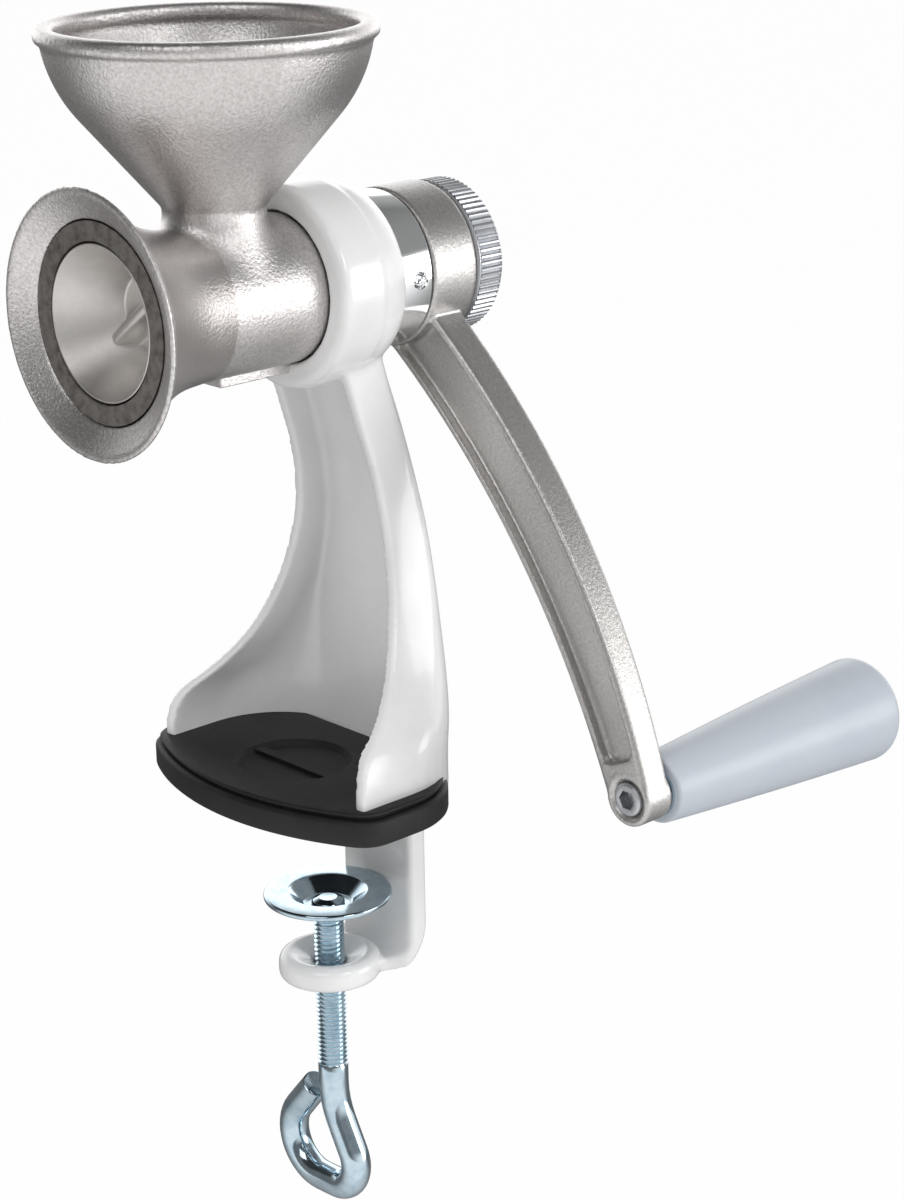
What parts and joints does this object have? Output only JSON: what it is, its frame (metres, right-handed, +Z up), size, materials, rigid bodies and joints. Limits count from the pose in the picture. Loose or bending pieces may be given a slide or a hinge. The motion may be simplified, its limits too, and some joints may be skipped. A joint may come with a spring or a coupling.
{
  "type": "hand crank meat grinder",
  "caption": "Table-clamped hand crank mill: hopper, feed worm, grinding cone in a ring, enamelled stand, turning grip and a swivel-plate clamp screw",
  "frame": {"origin": "on the underside of the rubber pad, on the clamp screw's axis", "axes": "+Z up, -Y the way the outlet faces, +Y towards the crank, +X towards the side that the crank hangs on"},
  "size_m": [0.1398, 0.1818, 0.3154],
  "materials": {
    "cast_aluminium": "blasted casting, satin",
    "dark_iron": "ground cast iron",
    "tinned_iron": "tinned, satin",
    "zinc_steel": "blue zinc plated",
    "nickel_steel": "nickel plated",
    "polished_chrome": "polished",
    "bronze": "sintered bronze",
    "black_rubber": "moulded, matt",
    "black_nylon": "moulded",
    "white_enamel": "gloss enamel on a casting",
    "grey_plastic": "moulded, satin"
  },
  "bodies": {
    "frame": {"mill_body": "cast_aluminium", "grinding_ring": "dark_iron", "ring_dowels": "zinc_steel", "shaft_seal": "black_rubber", "bearing_bush": "bronze", "ring_nut": "polished_chrome", "thrust_washer": "black_nylon", "spring_washer": "zinc_steel", "stand": "white_enamel", "table_pad": "black_rubber"},
    "crank": {"crank_arm": "cast_aluminium", "nut_washer": "zinc_steel", "grip_pin": "nickel_steel", "grip_washer": "zinc_steel", "grip_retainer": "zinc_steel"},
    "grip": {"grip": "grey_plastic", "grip_cap": "grey_plastic"},
    "nut": {"adjusting_nut": "nickel_steel"},
    "rotor": {"grinding_cone": "tinned_iron", "cone_pin": "zinc_steel", "feed_worm": "tinned_iron", "worm_pin": "zinc_steel", "drive_shaft": "zinc_steel", "preload_spring": "zinc_steel"},
    "plate": {"swivel_plate": "zinc_steel"},
    "screw": {"clamp_screw": "zinc_steel"}
  },
  "joints": [
    {"name": "crank_turn", "type": "hinge", "parent": "frame", "child": "crank", "pos_m": [0, 0, 0.13], "axis": [0, -1, 0], "continuous": true},
    {"name": "grip_spin", "type": "hinge", "parent": "crank", "child": "grip", "pos_m": [0.0829, 0.07, 0.01116], "axis": [0, 1, 0], "continuous": true},
    {"name": "nut_turn", "type": "hinge", "parent": "crank", "child": "nut", "pos_m": [0, 0, 0.13], "axis": [0, 1, 0], "range_deg": [-1, 361]},
    {"name": "grind_gap", "type": "slide", "parent": "crank", "child": "rotor", "axis": [0, -1, 0], "range_m": [0, 0.0015], "deforming": ["preload_spring"]},
    {"name": "clamp_travel", "type": "slide", "parent": "frame", "child": "plate", "axis": [0, 0, 1], "range_m": [-0.009, 0.025]},
    {"name": "screw_turn", "type": "hinge", "parent": "plate", "child": "screw", "pos_m": [0, 0, 0], "axis": [0, 0, 1], "range_deg": [-2594, 7202]}
  ],
  "couplings": [
    {"joint": "nut_turn", "follows": "grind_gap", "rad_per_m": 4188.8},
    {"joint": "screw_turn", "follows": "clamp_travel", "rad_per_m": 5026.5}
  ]
}
